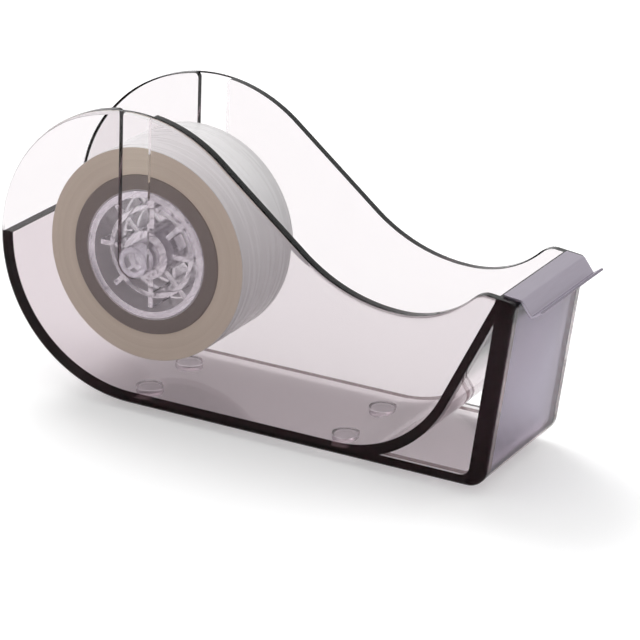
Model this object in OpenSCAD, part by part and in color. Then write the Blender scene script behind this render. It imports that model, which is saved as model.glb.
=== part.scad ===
// Desk tape dispenser: two clear side panels bonded to a bent base strip and a ramp,
// a steel cutter blade, four round feet, and a reel that rolls on a loose axle.
// The origin is at the middle of the footprint, on the surface that the feet stand on.
// +X points to the cutter, +Y to the far side panel, +Z up.

/* [Body] */
// Width over both side panels
body_w = 32; // [30:0.5:40]
// Thickness of a side panel
panel_t = 2.2; // [1.6:0.1:2.6]
// Thickness of the back, the floor and the ramp
strip_t = 2; // [1.6:0.1:2.4]
// Thickness of the front wall
front_t = 3.5; // [3:0.1:4]
// Radius of the round lobe around the reel
lobe_r = 29.3; // [29:0.1:31]
// Lean of the front wall from upright, in degrees
front_lean = 6.3; // [4:0.1:8]
// Radius of the front bottom corner
corner_r = 4; // [3:0.5:5]

/* [Top edge] */
// Slope of the straight stretch behind the lobe, in degrees
sweep_slope = 37.3; // [36:0.1:39]
// Distance from the lobe's centre to the lowest point of the top edge
dip_x = 56.8; // [56:0.1:58]
// Height of that lowest point over the panel's bottom
dip_z = 30.5; // [30:0.1:31]
// Radius of the dip towards the lobe
dip_rear_r = 32.7; // [30:0.1:33]
// Radius of the dip towards the cutter
dip_front_r = 20; // [18:0.5:21]
// Radius of the small peak behind the cutter
peak_r = 4; // [3:0.5:5]

/* [Ramp] */
// Distance from the lobe's centre to where the ramp leaves the floor
ramp_x = 44.35; // [44:0.05:45]
// Radius of the ramp's upper face
ramp_r = 23; // [22:0.5:24]
// Slope of the ramp's straight upper stretch, in degrees
ramp_slope = 64.7; // [64:0.1:66]

/* [Cutter blade] */
// Thickness of the blade's sheet
blade_t = 0.5; // [0.4:0.05:0.7]
// Length of the blade across the front wall
blade_w = 27.6; // [26:0.2:27.6]
// Number of teeth on the cutting edge
tooth_count = 22; // [16:1:28]
// Depth of a tooth
tooth_depth = 0.6; // [0.4:0.1:0.8]

/* [Reel] */
// Width of the tape
tape_w = 19; // [18:0.5:19]
// Outside radius of the wound tape
tape_r = 21.2; // [18:0.2:22]
// Outside radius of the core
core_r = 15.85; // [15.5:0.05:16]
// Inside radius of the core
core_bore_r = 12.7; // [12.7:0.05:13]
// Radius of the axle
axle_r = 3.1; // [2.9:0.05:3.2]
// Running clearance of the wheel on the axle
wheel_gap = 0.05; // [0.03:0.01:0.1]
// Clearance of the axle in the grooves
groove_gap = 0.1; // [0.08:0.01:0.1]

/* [Feet] */
// Diameter of a foot
foot_d = 5.5; // [5:0.1:6.5]
// Height of a foot
foot_h = 1.6; // [1.2:0.1:2]
// Distance of a foot's centre from the middle plane
foot_y = 7.6; // [6:0.1:9]

/* [Hidden] */
$fn = 96;

smoke = [0.72, 0.68, 0.75, 0.5];
clear = [0.88, 0.87, 0.92, 0.5];

// Cutter blade, seen from the side: bends at the crease and at the valley, then the edge
land_l = 2.7;
flange_slope = 53;
flange_l = 3.5;
lip_slope = 36;
lip_l = 2.3;

// Points of the side view, measured from the lobe's lowest point
arc_step = 3;
function arc(c, r, from, to) =
    let (n = ceil(abs(to - from) / arc_step))
    [for (i = [0 : n]) c + r * [cos(from + (to - from) * i / n), sin(from + (to - from) * i / n)]];
// Where the line through p along d crosses the line through q along e
function meet(p, d, q, e) = p + d * cross(q - p, e) / cross(d, e);

lean_up = [sin(front_lean), cos(front_lean)];
lean_out = [cos(front_lean), -sin(front_lean)];
lobe_c = [0, lobe_r];
dip_exit = 45;
peak_start = [dip_x + dip_front_r * sin(dip_exit), dip_z + dip_front_r * (1 - cos(dip_exit))];
peak_c = peak_start + peak_r * [sin(dip_exit), -cos(dip_exit)];
top_l = 5.4;
top_corner_r = 1;
peak_end = peak_c + peak_r * lean_up;
top_corner = peak_end + top_l * lean_out;
top_corner_c = top_corner - top_corner_r * (lean_up + lean_out);
corner_c = meet(top_corner - corner_r * lean_out, lean_up, [0, corner_r], [1, 0]);

// Inner face of the front wall, and the ramp's two faces
inner_corner_r = 2;
inner_top = top_corner - front_t * lean_out;
inner_corner_c = meet(inner_top - inner_corner_r * lean_out, lean_up, [0, strip_t + inner_corner_r], [1, 0]);
ramp_c = [ramp_x, strip_t + ramp_r];
ramp_up = [cos(ramp_slope), sin(ramp_slope)];
ramp_down = [sin(ramp_slope), -cos(ramp_slope)];
ramp_under_r = ramp_r + strip_t;
ramp_top = meet(ramp_c + ramp_r * ramp_down, ramp_up, top_corner, lean_out);
ramp_joint = meet(ramp_c + ramp_under_r * ramp_down, ramp_up, inner_top, lean_up);
ramp_under = arc(ramp_c, ramp_under_r, ramp_slope - 90, -asin(ramp_r / ramp_under_r));
ramp_toe_angle = 4;

// Places in the whole dispenser
axle_drop = 0.6;
crease = top_corner + blade_t / 2 * (lean_up + lean_out);
valley = crease + flange_l * [cos(flange_slope), -sin(flange_slope)];
edge = valley + lip_l * [cos(lip_slope), sin(lip_slope)];
lobe_x = (lobe_r - edge[0] - blade_t / 2 * sin(lip_slope)) / 2;
inner_y = body_w / 2 - panel_t;
axle_z = foot_h + lobe_r - axle_drop;
groove_r = axle_r + groove_gap;
groove_depth = 1.3;
groove_mouth_r = 1;
rear_foot_x = 0.3;
front_foot_x = 43.4;

// Reel details
core_w = tape_w + 0.4;
wheel_r = core_bore_r - 0.1;
rim_t = 1.3;
boss_r = 4.8;
web_t = 1.6;
ring_r = 8.2;
ring_t = 1;
rib_count = 8;
rib_t = 1;
rib_inset = 2.2;
axle_end_gap = 0.1;
axle_l = 2 * (inner_y + groove_depth - axle_end_gap);
axle_recess_r = 1.9;
axle_recess_l = 4;
foot_edge_r = 0.6;

// Stands a flat side view upright, from y0 to y0 + w, where its own origin is the lobe's lowest point
module upright(y0, w) {
    translate([lobe_x, y0 + w, foot_h]) rotate([90, 0, 0]) linear_extrude(w) children();
}

// The outer shape of a side panel, without its window
module side_outline() {
    polygon(concat(
        arc(lobe_c, lobe_r, 270, 90 - sweep_slope),
        arc([dip_x, dip_z + dip_rear_r], dip_rear_r, 270 - sweep_slope, 270),
        arc([dip_x, dip_z + dip_front_r], dip_front_r, 270 + arc_step, 270 + dip_exit - arc_step),
        arc(peak_c, peak_r, 90 + dip_exit, 90 - front_lean),
        arc(top_corner_c, top_corner_r, 90 - front_lean, -front_lean),
        arc(corner_c, corner_r, -front_lean, -90)
    ));
}

// The see-through window under the ramp
module window() {
    polygon(concat(
        arc(inner_corner_c, inner_corner_r, -90, -front_lean),
        [ramp_joint],
        ramp_under
    ));
}

// The groove that an axle end drops into, from its round seat up through the lobe's rim
module groove() {
    seat = lobe_c - [0, axle_drop];
    mouth_x = groove_r + groove_mouth_r;
    mouth_z = lobe_r + sqrt(lobe_r * lobe_r - mouth_x * mouth_x) - groove_mouth_r;
    over_rim = [0, 3 * lobe_r];
    polygon(concat(
        arc(seat, groove_r, 180, 360),
        arc([mouth_x, mouth_z], groove_mouth_r, 180, 90),
        [over_rim + [mouth_x, 0], over_rim - [mouth_x, 0]],
        arc([-mouth_x, mouth_z], groove_mouth_r, 90, 0)
    ));
}

// side is -1 for the near panel and 1 for the far one
module side_panel(side) {
    color(smoke)
    difference() {
        upright(side > 0 ? inner_y : -inner_y - panel_t, panel_t)
            difference() {
                side_outline();
                window();
            }
        upright(side > 0 ? inner_y - 1 : -inner_y - groove_depth, groove_depth + 1) groove();
    }
}

module near_side_panel() {
    side_panel(-1);
}

module far_side_panel() {
    side_panel(1);
}

// Back, floor and front wall: one strip bent round between the side panels
module base_wrap() {
    color(smoke)
    upright(-inner_y, 2 * inner_y)
        polygon(concat(
            arc(lobe_c, lobe_r, 180, 270),
            arc(corner_c, corner_r, -90, -front_lean),
            arc(top_corner_c, top_corner_r, -front_lean, 90 - front_lean),
            [inner_top],
            arc(inner_corner_c, inner_corner_r, -front_lean, -90),
            arc(lobe_c, lobe_r - strip_t, 270, 180)
        ));
}

module ramp_panel() {
    color(smoke)
    upright(-inner_y, 2 * inner_y)
        polygon(concat(
            arc(ramp_c, ramp_r, ramp_toe_angle - 90, ramp_slope - 90),
            [ramp_top, inner_top, ramp_joint],
            ramp_under,
            [[ramp_c[0] + ramp_r * sin(ramp_toe_angle), strip_t]]
        ));
}

// A straight stretch of sheet, from a to b
module sheet(a, b) {
    run = b - a;
    translate(a) rotate(atan2(run[1], run[0])) translate([0, -blade_t / 2]) square([norm(run), blade_t]);
}

module cutter_blade() {
    pitch = blade_w / tooth_count;
    color([0.62, 0.59, 0.64])
    difference() {
        upright(-blade_w / 2, blade_w) {
            sheet(crease - land_l * lean_out, crease);
            translate(crease) circle(blade_t / 2);
            sheet(crease, valley);
            translate(valley) circle(blade_t / 2);
            sheet(valley, edge);
        }
        translate([lobe_x + edge[0], 0, foot_h + edge[1]]) rotate([0, -lip_slope, 0])
            for (i = [0 : tooth_count])
                translate([0, (i - tooth_count / 2) * pitch, -blade_t])
                    linear_extrude(2 * blade_t)
                        polygon([[-tooth_depth, 0], [0.1, -pitch / 2], [0.1, pitch / 2]]);
    }
}

module foot(x, y) {
    color(clear)
    translate([lobe_x + x, y, 0])
        rotate_extrude() {
            square([foot_d / 2 - foot_edge_r, foot_h]);
            translate([0, foot_edge_r]) square([foot_d / 2, foot_h - foot_edge_r]);
            translate([foot_d / 2 - foot_edge_r, foot_edge_r]) circle(foot_edge_r, $fn = 32);
        }
}

module rear_near_foot() {
    foot(rear_foot_x, -foot_y);
}

module rear_far_foot() {
    foot(rear_foot_x, foot_y);
}

module front_near_foot() {
    foot(front_foot_x, -foot_y);
}

module front_far_foot() {
    foot(front_foot_x, foot_y);
}

// A cylinder along Y, centred on the axle
module disc(r, w) {
    translate([lobe_x, 0, axle_z]) rotate([90, 0, 0]) cylinder(h = w, r = r, center = true);
}

module tube(r_out, r_in, w) {
    difference() {
        disc(r_out, w);
        disc(r_in, w + 1);
    }
}

module hub_axle() {
    color(clear)
    difference() {
        disc(axle_r, axle_l);
        for (side = [-1, 1])
            translate([0, side * (axle_l - axle_recess_l) / 2, 0]) disc(axle_recess_r, axle_recess_l + 0.01);
    }
}

// Wheel that the core fits on: rim, web, ring and ribs, with a bore for the axle
module hub_wheel() {
    color(clear)
    difference() {
        union() {
            tube(wheel_r, wheel_r - rim_t, core_w);
            disc(wheel_r - rim_t / 2, web_t);
            tube(ring_r + ring_t, ring_r, core_w - 2 * rib_inset);
            disc(boss_r, core_w);
            translate([lobe_x, 0, axle_z])
                for (i = [0 : rib_count - 1])
                    rotate([0, i * 360 / rib_count, 0])
                        translate([boss_r - 0.5, -core_w / 2 + rib_inset, -rib_t / 2])
                            cube([wheel_r - rim_t / 2 - boss_r + 0.5, core_w - 2 * rib_inset, rib_t]);
        }
        disc(axle_r + wheel_gap, core_w + 1);
    }
}

module tape_core() {
    color([0.55, 0.5, 0.47])
    tube(core_r, core_bore_r, core_w);
}

module tape_roll() {
    color([0.75, 0.71, 0.64])
    tube(tape_r, core_r, tape_w);
}

near_side_panel();
far_side_panel();
base_wrap();
ramp_panel();
cutter_blade();
rear_near_foot();
rear_far_foot();
front_near_foot();
front_far_foot();
hub_axle();
hub_wheel();
tape_core();
tape_roll();
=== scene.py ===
"""Smoke-tinted tape dispenser: visual model, materials, light and camera. Metres, +X to the cutter."""

import math

import bmesh
import bpy
from mathutils import Matrix, Vector


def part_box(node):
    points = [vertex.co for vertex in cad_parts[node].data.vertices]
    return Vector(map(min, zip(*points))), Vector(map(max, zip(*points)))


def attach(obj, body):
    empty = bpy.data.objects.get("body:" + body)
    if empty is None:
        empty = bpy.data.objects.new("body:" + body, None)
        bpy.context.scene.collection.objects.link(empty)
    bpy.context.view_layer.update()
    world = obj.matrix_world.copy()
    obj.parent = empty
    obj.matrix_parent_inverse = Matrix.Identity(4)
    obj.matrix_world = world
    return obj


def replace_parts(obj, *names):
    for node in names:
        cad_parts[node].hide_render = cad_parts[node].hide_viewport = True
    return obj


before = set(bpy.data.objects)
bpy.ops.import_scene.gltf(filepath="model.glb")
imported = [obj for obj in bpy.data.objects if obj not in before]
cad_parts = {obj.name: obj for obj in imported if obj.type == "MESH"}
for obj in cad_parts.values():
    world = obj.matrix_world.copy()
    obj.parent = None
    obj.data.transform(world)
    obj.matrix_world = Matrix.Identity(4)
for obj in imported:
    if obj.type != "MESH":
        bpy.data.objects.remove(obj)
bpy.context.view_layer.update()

MM = 0.001

# Edge rounding of the pieces
OUTER_EDGE = 0.8 * MM
WINDOW_EDGE = 0.25 * MM
JOINT_EDGE = 0.12 * MM
STRIP_EDGE = 0.12 * MM
GROOVE_EDGE = 0.3 * MM
HUB_EDGE = 0.12 * MM
AXLE_EDGE = 0.3 * MM
BOND_OVERLAP = 0.02 * MM
BLADE_EDGE = 0.07 * MM

# Working limits on the CAD meshes: merging, flattening, and telling a face by its place
MERGE_WITHIN = 0.002 * MM
ZERO_LENGTH = 0.0005 * MM
FLAT_ANGLE = math.radians(0.5)
SAME_PLACE = 0.01 * MM
RIM_ANGLE = 60
GROOVE_MARGIN = 1.0 * MM
GROOVE_TOP_CLEAR = 1.5 * MM

# Where a side panel's window lies: behind the front wall's outside, and over the panel's bottom
WINDOW_BACK = 3.4 * MM
WINDOW_LOW = 1.9 * MM
WINDOW_HIGH = 30.2 * MM

# Cutter blade, as bent sheet
BLADE_T = 0.5 * MM
FLANGE_L = 3.5 * MM
FLANGE_SLOPE = math.radians(53)
LIP_L = 2.3 * MM
LIP_SLOPE = math.radians(36)
LAND_SLOPE = math.radians(6.3)
TOOTH_COUNT = 22
TOOTH_DEPTH = 0.6 * MM
BEND_R = 0.55 * MM
LAND_EXTRA = 0.8 * MM

# Front wall: the way its outside faces, and its satin skin
FRONT_WAY = Vector((math.cos(LAND_SLOPE), 0, -math.sin(LAND_SLOPE)))
SATIN_ROUGHNESS = 0.38
SATIN_DEPTH = 0.1 * MM
SATIN_TINT = (0.70, 0.78, 1.0)

# Acrylic: its index, and the dark colour of the strips' glued end faces
ACRYLIC_IOR = 1.49
GLUED_TINT = (0.12, 0.08, 0.08)

# Tape roll and core
FILM_EDGE = 0.12 * MM
CORE_EDGE = 0.35 * MM
CORE_PLAY = 0.1 * MM
# Painted light: a warm glow on the film's edges, standing in for light passing through the clear film
FILM_PAINTED_GLOW = 0.09
# Painted light: a glow in the core's bore, standing in for light reaching inside it
BORE_PAINTED_GLOW = 0.16
LATHE_STEPS = 192

# Edges that turn more than this stay sharp
SHARP_ANGLE = math.radians(50)


# ---------------------------------------------------------------- materials

class Nodes:
    """A material's node tree with short calls for adding and linking nodes."""

    def __init__(self, name):
        self.mat = bpy.data.materials.new(name)
        self.mat.use_nodes = True
        self.tree = self.mat.node_tree
        self.bsdf = self.tree.nodes["Principled BSDF"]
        self.out = self.tree.nodes["Material Output"]
        self.coord = self.tree.nodes.new("ShaderNodeTexCoord")

    def add(self, kind, **values):
        node = self.tree.nodes.new(kind)
        for key, value in values.items():
            if key in node.inputs:
                node.inputs[key].default_value = value
            else:
                setattr(node, key, value)
        return node

    def link(self, a, b):
        self.tree.links.new(a, b)

    def set(self, **values):
        for key, value in values.items():
            self.bsdf.inputs[key.replace("_", " ")].default_value = value

    def noise(self, scale, detail=2.0, stretch=(1, 1, 1)):
        move = self.add("ShaderNodeMapping")
        move.inputs["Scale"].default_value = stretch
        self.link(self.coord.outputs["Object"], move.inputs["Vector"])
        noise = self.add("ShaderNodeTexNoise", Scale=scale, Detail=detail)
        self.link(move.outputs["Vector"], noise.inputs["Vector"])
        return noise.outputs["Fac"]

    def spread(self, source, low, high):
        """Maps a 0 to 1 value to low to high."""
        node = self.add("ShaderNodeMapRange")
        node.inputs["To Min"].default_value = low
        node.inputs["To Max"].default_value = high
        self.link(source, node.inputs["Value"])
        return node.outputs["Result"]

    def mix(self, source, first, second):
        """A colour between first and second by source."""
        node = self.add("ShaderNodeMix")
        node.data_type = "RGBA"
        node.inputs["A"].default_value = (*first, 1)
        node.inputs["B"].default_value = (*second, 1)
        self.link(source, node.inputs["Factor"])
        return node.outputs["Result"]

    def above(self, source, limit):
        """1 where the value is over the limit, else 0."""
        node = self.add("ShaderNodeMath", operation="GREATER_THAN")
        self.link(source, node.inputs[0])
        node.inputs[1].default_value = limit
        return node.outputs["Value"]

    def multiply(self, first, second):
        """The product of two colours."""
        node = self.add("ShaderNodeVectorMath", operation="MULTIPLY")
        self.link(first, node.inputs[0])
        self.link(second, node.inputs[1])
        return node.outputs["Vector"]

    def bump(self, source, height, strength=1.0):
        node = self.add("ShaderNodeBump", Strength=strength, Distance=height)
        self.link(source, node.inputs["Height"])
        self.link(node.outputs["Normal"], self.bsdf.inputs["Normal"])

    def absorb(self, colour, density):
        node = self.add("ShaderNodeVolumeAbsorption", Density=density)
        node.inputs["Color"].default_value = (*colour, 1)
        self.link(node.outputs["Volume"], self.out.inputs["Volume"])


def acrylic_base(name, tint, density):
    m = Nodes(name)
    m.set(Transmission_Weight=1.0, IOR=ACRYLIC_IOR)
    m.bsdf.inputs["Specular Tint"].default_value = (0.1, 0.1, 0.1, 1)
    m.bump(m.noise(45, 1), 0.02 * MM, 0.15)
    m.absorb(tint, density)
    return m


def panel_acrylic():
    m = acrylic_base("smoke_acrylic", (0.211, 0.066, 0.118), 108.0)
    m.link(m.mix(m.noise(60), (0.985, 0.98, 0.985), (1, 1, 1)), m.bsdf.inputs["Base Color"])
    m.link(m.spread(m.noise(350, 4), 0.0, 0.012), m.bsdf.inputs["Roughness"])
    return m.mat


def strip_acrylic(joint_y, front):
    """The strips' acrylic: dark in the glued ends, and satin on the front wall's outside."""
    m = acrylic_base("smoke_acrylic_strip", (0.28, 0.03, 0.13), 112.0)
    part = m.add("ShaderNodeSeparateXYZ")
    m.link(m.coord.outputs["Object"], part.inputs["Vector"])
    width = m.add("ShaderNodeMath", operation="ABSOLUTE")
    m.link(part.outputs["Y"], width.inputs[0])
    glued = m.above(width.outputs["Value"], joint_y)
    reach = m.add("ShaderNodeVectorMath", operation="DOT_PRODUCT")
    reach.inputs[1].default_value = FRONT_WAY
    m.link(m.coord.outputs["Object"], reach.inputs[0])
    satin = m.above(reach.outputs["Value"], front - SATIN_DEPTH)
    clear = m.mix(m.noise(60), (0.985, 0.98, 0.985), (1, 1, 1))
    lilac = m.mix(satin, (1, 1, 1), SATIN_TINT)
    both = m.multiply(clear, lilac)
    dark = m.mix(glued, (1, 1, 1), GLUED_TINT)
    m.link(m.multiply(both, dark), m.bsdf.inputs["Base Color"])
    fine = m.spread(m.noise(350, 4), 0.0, 0.012)
    rough = m.add("ShaderNodeMath", operation="MULTIPLY_ADD")
    m.link(satin, rough.inputs[0])
    rough.inputs[1].default_value = SATIN_ROUGHNESS
    m.link(fine, rough.inputs[2])
    m.link(rough.outputs["Value"], m.bsdf.inputs["Roughness"])
    return m.mat


def clear_plastic(name, tint, density, rough):
    m = Nodes(name)
    m.set(Transmission_Weight=1.0, IOR=1.5)
    m.bsdf.inputs["Specular Tint"].default_value = (0.5, 0.5, 0.5, 1)
    m.link(m.mix(m.noise(120), (0.96, 0.955, 0.975), (1, 1, 1)), m.bsdf.inputs["Base Color"])
    m.link(m.spread(m.noise(500, 4), 0.0, rough), m.bsdf.inputs["Roughness"])
    m.bump(m.noise(160, 2), 0.03 * MM, 0.2)
    m.absorb(tint, density)
    return m.mat


def blade_steel():
    m = Nodes("blade_steel")
    brush = m.noise(9000, 3, (1, 0.02, 1))
    m.set(Metallic=1.0)
    m.link(m.mix(brush, (0.31, 0.28, 0.33), (0.39, 0.355, 0.42)), m.bsdf.inputs["Base Color"])
    m.link(m.spread(brush, 0.26, 0.4), m.bsdf.inputs["Roughness"])
    m.bump(brush, 0.004 * MM, 0.6)
    return m.mat


def core_plastic():
    m = Nodes("core_plastic")
    grain = m.noise(400, 4)
    m.set(IOR=1.5)
    m.link(m.mix(grain, (0.30, 0.245, 0.225), (0.36, 0.30, 0.275)), m.bsdf.inputs["Base Color"])
    m.link(m.spread(grain, 0.3, 0.45), m.bsdf.inputs["Roughness"])
    m.bump(grain, 0.03 * MM, 0.2)
    return m.mat


def core_bore_painted_light():
    """The inside of the core, painted pale and glowing as painted light: a lit copy of the core's plastic,
    seen through the clear hub.
    """
    m = Nodes("core_bore_painted_light")
    grain = m.noise(400, 4)
    # Painted light: the glow and the pale colour stand in for light in the shaded bore
    m.set(IOR=1.5, Emission_Strength=BORE_PAINTED_GLOW)
    m.bsdf.inputs["Emission Color"].default_value = (1.0, 0.92, 0.96, 1)
    m.link(m.mix(grain, (0.66, 0.60, 0.62), (0.76, 0.70, 0.73)), m.bsdf.inputs["Base Color"])
    m.link(m.spread(grain, 0.3, 0.45), m.bsdf.inputs["Roughness"])
    return m.mat


def film_side(centre):
    """The edges of the wound film: fine rings round the axle, with a warm painted glow standing in for
    light passing through the clear film.
    """
    m = Nodes("tape_film_side")
    shift = m.add("ShaderNodeMapping")
    shift.inputs["Location"].default_value = (-centre.x, 0, -centre.z)
    shift.inputs["Scale"].default_value = (1, 0, 1)
    m.link(m.coord.outputs["Object"], shift.inputs["Vector"])
    radius = m.add("ShaderNodeVectorMath", operation="LENGTH")
    m.link(shift.outputs["Vector"], radius.inputs[0])
    rings = m.add("ShaderNodeTexNoise", noise_dimensions="1D", Scale=5200.0, Detail=3.0)
    m.link(radius.outputs["Value"], rings.inputs["W"])
    broad = m.add("ShaderNodeTexNoise", noise_dimensions="1D", Scale=900.0, Detail=2.0)
    m.link(radius.outputs["Value"], broad.inputs["W"])
    # Painted light: the emission is a warm glow standing in for light through the film
    m.set(IOR=1.47, Emission_Strength=FILM_PAINTED_GLOW)
    m.bsdf.inputs["Emission Color"].default_value = (1.0, 0.84, 0.68, 1)
    both = m.add("ShaderNodeMath", operation="MULTIPLY_ADD")
    m.link(rings.outputs["Fac"], both.inputs[0])
    both.inputs[1].default_value = 0.4
    m.link(m.spread(broad.outputs["Fac"], 0.0, 0.6), both.inputs[2])
    tone = m.mix(both.outputs["Value"], (0.72, 0.62, 0.50), (0.88, 0.78, 0.66))
    m.link(tone, m.bsdf.inputs["Base Color"])
    m.link(m.spread(rings.outputs["Fac"], 0.35, 0.5), m.bsdf.inputs["Roughness"])
    m.bump(rings.outputs["Fac"], 0.03 * MM, 0.4)
    return m.mat


def film_outside():
    """The outside turn of the wound film: pale, with faint streaks along the turn."""
    m = Nodes("tape_film_outside")
    streaks = m.noise(700, 3, (0.05, 1, 0.05))
    m.set(IOR=1.47)
    m.link(m.mix(streaks, (0.76, 0.745, 0.745), (0.92, 0.91, 0.915)), m.bsdf.inputs["Base Color"])
    m.link(m.spread(streaks, 0.2, 0.35), m.bsdf.inputs["Roughness"])
    m.bump(m.noise(220, 3), 0.04 * MM, 0.25)
    return m.mat


def floor_paint():
    m = Nodes("floor_paint")
    grain = m.noise(900, 3)
    m.link(m.mix(grain, (0.895, 0.895, 0.895), (0.905, 0.905, 0.905)), m.bsdf.inputs["Base Color"])
    m.set(Roughness=1.0, Specular_IOR_Level=0.0, Emission_Strength=FLOOR_GLOW)
    m.bsdf.inputs["Emission Color"].default_value = (1, 1, 1, 1)
    return m.mat


# ---------------------------------------------------------------- mesh helpers

def smooth(obj):
    """Smooth shading with flat faces kept flat."""
    mesh = obj.data
    mesh.shade_smooth()
    work = bmesh.new()
    work.from_mesh(mesh)
    for edge in work.edges:
        edge.smooth = edge.calc_face_angle(0) < SHARP_ANGLE
    work.to_mesh(mesh)
    work.free()
    weigh = obj.modifiers.new("weigh", "WEIGHTED_NORMAL")
    weigh.keep_sharp = True
    weigh.weight = 100


def cad_bmesh(node):
    """The CAD node's mesh with its split vertices merged and its flat faces joined."""
    work = bmesh.new()
    work.from_mesh(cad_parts[node].data)
    bmesh.ops.remove_doubles(work, verts=work.verts, dist=MERGE_WITHIN)
    bmesh.ops.dissolve_limit(
        work, angle_limit=FLAT_ANGLE, verts=work.verts, edges=work.edges, delimit=set()
    )
    return work


def sharp_edges(work, least=25.0):
    least = math.radians(least)
    return [e for e in work.edges if len(e.link_faces) == 2 and e.calc_face_angle(0) > least]


def round_edges(work, edges, width, segments, clamp=True):
    bmesh.ops.bevel(
        work,
        geom=edges,
        offset=width,
        offset_type="OFFSET",
        segments=segments,
        profile=0.5,
        affect="EDGES",
        clamp_overlap=clamp,
    )


def to_mesh(work, name):
    mesh = bpy.data.meshes.new(name)
    bmesh.ops.dissolve_degenerate(work, dist=ZERO_LENGTH, edges=work.edges)
    bmesh.ops.recalc_face_normals(work, faces=work.faces)
    work.to_mesh(mesh)
    work.free()
    return mesh


def add_piece(node, work, body, slot, *materials):
    """Makes the visual piece that stands for a CAD node, riding on its body."""
    mesh = to_mesh(work, node + "_visual")
    obj = bpy.data.objects.new(node + "_visual", mesh)
    bpy.context.scene.collection.objects.link(obj)
    for material in materials:
        mesh.materials.append(material)
    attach(obj, body)
    smooth(obj)
    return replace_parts(obj, node)


def lathe(centre, profile, steps=LATHE_STEPS):
    """The bmesh of a closed ring round the axle, from an outline of (radius, y) points."""
    work = bmesh.new()
    rings = []
    for i in range(steps):
        turn = 2 * math.pi * i / steps
        way = Vector((math.cos(turn), 0, math.sin(turn)))
        rings.append([work.verts.new(centre + way * r + Vector((0, y, 0))) for r, y in profile])
    for i in range(steps):
        here, there = rings[i], rings[(i + 1) % steps]
        for j in range(len(profile)):
            k = (j + 1) % len(profile)
            work.faces.new((here[j], here[k], there[k], there[j]))
    return work


def rounded(points, radius, segments=4):
    """The closed outline with each corner rounded."""
    out = []
    count = len(points)
    for i in range(count):
        a, b, c = (Vector(points[(i + d) % count]) for d in (-1, 0, 1))
        to_a, to_c = (a - b).normalized(), (c - b).normalized()
        half = to_a.angle(to_c) / 2
        reach = radius / math.tan(half)
        mid = b + (to_a + to_c).normalized() * radius / math.sin(half)
        first, last = (b + to_a * reach - mid).normalized(), (b + to_c * reach - mid).normalized()
        for s in range(segments + 1):
            out.append(tuple(mid + first.slerp(last, s / segments) * radius))
    return out


def front_reach():
    """How far the front wall's outside lies along its own outward direction."""
    return max(v.co.dot(FRONT_WAY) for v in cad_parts["base_wrap"].data.vertices)


# ---------------------------------------------------------------- pieces

def side_panel(node, material):
    """A side panel with well-rounded outside edges and crisp edges at the joints and the groove."""
    work = cad_bmesh(node)
    low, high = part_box(node)
    outside = high.y if high.y > 0 else low.y
    inside = low.y if high.y > 0 else high.y
    ramp_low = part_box("ramp_panel")[0]
    axle_low, axle_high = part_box("hub_axle")

    def on_outside(edge):
        return all(abs(v.co.y - outside) < SAME_PLACE for v in edge.verts)

    def at_window(edge):
        spot = (edge.verts[0].co + edge.verts[1].co) / 2
        behind = front_reach() - spot.dot(FRONT_WAY)
        return ramp_low.x < spot.x and behind > WINDOW_BACK and WINDOW_LOW < spot.z - low.z < WINDOW_HIGH

    def on_inside(edge):
        return all(abs(v.co.y - inside) < SAME_PLACE for v in edge.verts)

    def at_groove(edge):
        spot = (edge.verts[0].co + edge.verts[1].co) / 2
        beside = axle_low.x - GROOVE_MARGIN < spot.x < axle_high.x + GROOVE_MARGIN
        return beside and axle_low.z - GROOVE_MARGIN < spot.z < high.z - GROOVE_TOP_CLEAR

    rim = [e for e in sharp_edges(work, RIM_ANGLE) if on_outside(e)]
    round_edges(work, [e for e in rim if not at_window(e)], OUTER_EDGE, 5, clamp=False)
    rim = [e for e in sharp_edges(work, RIM_ANGLE) if on_outside(e)]
    round_edges(work, rim, WINDOW_EDGE, 3, clamp=False)
    flat = [e for e in sharp_edges(work, RIM_ANGLE) if on_inside(e)]
    round_edges(work, [e for e in flat if at_groove(e)], GROOVE_EDGE, 3)
    flat = [e for e in sharp_edges(work, RIM_ANGLE) if on_inside(e)]
    round_edges(work, flat, JOINT_EDGE, 2)
    return add_piece(node, work, "body", "smoke_acrylic", material)


def bonded_strip(node, shift, material):
    """A strip between the side panels, let into them by a hair so that the bond is clear."""
    work = cad_bmesh(node)
    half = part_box(node)[1].y
    cross = [e for e in sharp_edges(work) if abs(e.verts[0].co.y - e.verts[1].co.y) > half]
    round_edges(work, cross, STRIP_EDGE, 3)
    grow = (half + BOND_OVERLAP) / half
    for vert in work.verts:
        vert.co.y *= grow
        vert.co += shift
    return add_piece(node, work, "body", "smoke_acrylic", material)


def bend(points, corner, before, after, radius, steps=5):
    """Adds a rounded bend of a centre line at corner, between two unit directions."""
    turn = before.angle(after)
    reach = radius * math.tan(turn / 2)
    start, end = corner - before * reach, corner + after * reach
    for s in range(steps + 1):
        t = s / steps
        points.append(start * (1 - t) ** 2 + corner * 2 * t * (1 - t) + end * t ** 2)


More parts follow.
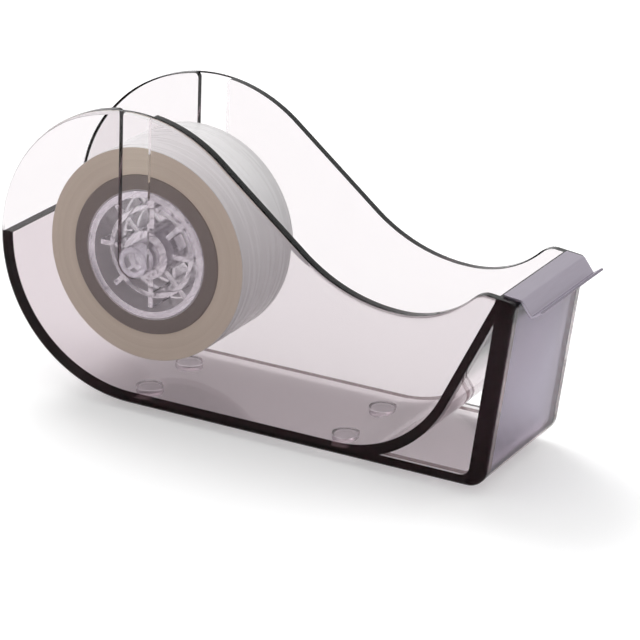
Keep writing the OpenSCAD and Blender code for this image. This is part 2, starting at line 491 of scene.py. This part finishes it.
def cutter_blade(material):
    """Bent sheet with a toothed front edge."""
    low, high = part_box("cutter_blade")
    half_t = BLADE_T / 2
    lip = Vector((math.cos(LIP_SLOPE), math.sin(LIP_SLOPE)))
    flange = Vector((math.cos(FLANGE_SLOPE), -math.sin(FLANGE_SLOPE)))
    land = Vector((math.cos(LAND_SLOPE), -math.sin(LAND_SLOPE)))
    tip_x = high.x - half_t * math.sin(LIP_SLOPE)
    valley = Vector((tip_x - LIP_L * lip.x, low.z + half_t))
    crease = valley - flange * FLANGE_L
    land_l = (crease.x - low.x) / land.x
    line = [crease - land * (land_l + LAND_EXTRA)]
    bend(line, crease, land, flange, BEND_R)
    bend(line, valley, flange, lip, BEND_R)
    line.append(valley + lip * LIP_L)
    columns = 2 * TOOTH_COUNT
    work = bmesh.new()
    grid = []
    for c in range(columns + 1):
        y = low.y + (high.y - low.y) * c / columns
        path = list(line)
        if c % 2 == 1:
            path[-1] = path[-1] - lip * TOOTH_DEPTH
        upper, lower = [], []
        for i, point in enumerate(path):
            a, b = path[max(i - 1, 0)], path[min(i + 1, len(path) - 1)]
            along = (b - a).normalized()
            side = Vector((-along.y, along.x)) * half_t
            for row, spot in ((upper, point + side), (lower, point - side)):
                row.append(work.verts.new((spot.x, y, spot.y)))
        grid.append(upper + lower[::-1])
    size = len(grid[0])
    for here, there in zip(grid, grid[1:]):
        for j in range(size):
            k = (j + 1) % size
            work.faces.new((here[j], here[k], there[k], there[j]))
    work.faces.new(grid[0])
    work.faces.new(grid[-1])
    bmesh.ops.recalc_face_normals(work, faces=work.faces)
    round_edges(work, sharp_edges(work, 50), BLADE_EDGE, 2)
    return add_piece("cutter_blade", work, "body", "blade_steel", material)


def foot(node, material):
    work = cad_bmesh(node)
    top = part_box(node)[1].z
    for vert in work.verts:
        vert.co.z *= (top + BOND_OVERLAP) / top
    return add_piece(node, work, "body", "clear_foot", material)


def hub_piece(node, body, edge, material):
    work = cad_bmesh(node)
    round_edges(work, sharp_edges(work, 50), edge, 2)
    return add_piece(node, work, body, "clear_hub", material)


def ring(node, centre, inner, edge, slot, lined, materials):
    """A tube round the axle. The second material lies on its outside or its bore, as lined says."""
    low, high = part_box(node)
    outer = (high.z - low.z) / 2
    outline = [(inner, low.y), (inner, high.y), (outer, high.y), (outer, low.y)]
    work = lathe(centre, rounded(outline, edge))
    for face in work.faces:
        reach = face.calc_center_median() - centre
        reach.y = 0
        if lined == "outside":
            on_skin = reach.length > outer - 0.5 * edge
        else:
            on_skin = reach.length < inner + 0.5 * edge
        face.material_index = 1 if on_skin else 0
    return add_piece(node, work, "reel", slot, *materials)


def build_pieces():
    acrylic = panel_acrylic()
    strip = strip_acrylic(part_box("base_wrap")[1].y, front_reach())
    soft_clear = clear_plastic("clear_foot", (0.5, 0.45, 0.55), 30.0, 0.08)
    hub_clear = clear_plastic("clear_hub", (0.45, 0.36, 0.48), 25.0, 0.22)
    side_panel("near_side_panel", acrylic)
    side_panel("far_side_panel", acrylic)
    bonded_strip("base_wrap", Vector((0, 0, 0)), strip)
    bonded_strip("ramp_panel", Vector((BOND_OVERLAP, 0, -BOND_OVERLAP)), strip)
    cutter_blade(blade_steel())
    for place in ("rear_near", "rear_far", "front_near", "front_far"):
        foot(place + "_foot", soft_clear)
    low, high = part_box("tape_roll")
    centre = (low + high) / 2
    hub_piece("hub_axle", "axle", AXLE_EDGE, hub_clear)
    hub_piece("hub_wheel", "reel", HUB_EDGE, hub_clear)
    core_low, core_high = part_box("tape_core")
    wheel_low, wheel_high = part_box("hub_wheel")
    core_inner = (wheel_high.z - wheel_low.z) / 2 + CORE_PLAY
    # The bore's skin is painted light: pale and glowing
    core_skins = [core_plastic(), core_bore_painted_light()]
    ring("tape_core", centre, core_inner, CORE_EDGE, "core_plastic", "bore", core_skins)
    core_outer = (core_high.z - core_low.z) / 2
    film_skins = [film_side(centre), film_outside()]
    ring("tape_roll", centre, core_outer, FILM_EDGE, "tape_film", "outside", film_skins)


# ---------------------------------------------------------------- stage, light and camera

FLOOR_DROP = 0.05 * MM
FLOOR_HALF = 3.0
CAMERA_AT = Vector((0.2680, -0.5088, 0.2415))
CAMERA_YAW = math.radians(27.32)
CAMERA_PITCH = math.radians(21.09)
CAMERA_ROLL = math.radians(2.19)
CAMERA_LENS = 181.67
# Light levels, and the cosines between which the sweep rises
FLOOR_GLOW = 0.28
ROOM = 0.62
SWEEP = 1.0
SWEEP_TO = Vector((-0.3, 1.0, 0.1))
SWEEP_STARTS = -0.4
SWEEP_FULL = 0.8
KEY = 6.0
KEY_FROM = Vector((-0.8, 0.5, 1.1))
KEY_SPREAD = math.radians(20)


def floor():
    work = bmesh.new()
    corners = [(-1, -1), (1, -1), (1, 1), (-1, 1)]
    work.faces.new([work.verts.new((x * FLOOR_HALF, y * FLOOR_HALF, -FLOOR_DROP)) for x, y in corners])
    mesh = bpy.data.meshes.new("floor")
    work.to_mesh(mesh)
    work.free()
    obj = bpy.data.objects.new("floor", mesh)
    bpy.context.scene.collection.objects.link(obj)
    mesh.materials.append(floor_paint())


def light():
    """A pale sweep behind the object, a dimmer room before it, and a soft light from behind on the left."""
    world = bpy.data.worlds.new("studio")
    bpy.context.scene.world = world
    world.use_nodes = True
    tree = world.node_tree
    way = tree.nodes.new("ShaderNodeTexCoord")

    def patch(direction, least, most, low, high):
        """Light that rises smoothly from low to high as the view turns to the direction."""
        aim = tree.nodes.new("ShaderNodeVectorMath")
        aim.operation = "DOT_PRODUCT"
        aim.inputs[1].default_value = direction.normalized()
        tree.links.new(way.outputs["Generated"], aim.inputs[0])
        soft = tree.nodes.new("ShaderNodeMapRange")
        soft.interpolation_type = "SMOOTHSTEP"
        for name, value in zip(("From Min", "From Max", "To Min", "To Max"), (least, most, low, high)):
            soft.inputs[name].default_value = value
        tree.links.new(aim.outputs["Value"], soft.inputs["Value"])
        return soft.outputs["Result"]

    both = tree.nodes.new("ShaderNodeMath")
    both.operation = "ADD"
    tree.links.new(patch(SWEEP_TO, SWEEP_STARTS, SWEEP_FULL, ROOM, SWEEP), both.inputs[0])
    tree.links.new(patch(KEY_FROM, math.cos(KEY_SPREAD), 1.0, 0.0, KEY), both.inputs[1])
    back = tree.nodes["Background"]
    back.inputs["Color"].default_value = (1, 1, 1, 1)
    tree.links.new(both.outputs["Value"], back.inputs["Strength"])


def camera():
    data = bpy.data.cameras.new("camera")
    data.sensor_width = 36
    data.lens = CAMERA_LENS
    data.clip_start = 0.01
    obj = bpy.data.objects.new("camera", data)
    bpy.context.scene.collection.objects.link(obj)
    ahead = Vector((
        -math.sin(CAMERA_YAW) * math.cos(CAMERA_PITCH),
        math.cos(CAMERA_YAW) * math.cos(CAMERA_PITCH),
        -math.sin(CAMERA_PITCH),
    ))
    right = Vector((math.cos(CAMERA_YAW), math.sin(CAMERA_YAW), 0))
    up = right.cross(ahead)
    side = right * math.cos(CAMERA_ROLL) + up * math.sin(CAMERA_ROLL)
    top = up * math.cos(CAMERA_ROLL) - right * math.sin(CAMERA_ROLL)
    turn = Matrix((side, top, -ahead)).transposed().to_4x4()
    obj.matrix_world = Matrix.Translation(CAMERA_AT) @ turn
    bpy.context.scene.camera = obj


def render_look():
    scene = bpy.context.scene
    scene.view_settings.view_transform = "Standard"
    scene.cycles.max_bounces = 32
    scene.cycles.transmission_bounces = 32
    scene.cycles.glossy_bounces = 16
    scene.cycles.diffuse_bounces = 6
    scene.cycles.transparent_max_bounces = 32


build_pieces()
floor()
light()
camera()
render_look()
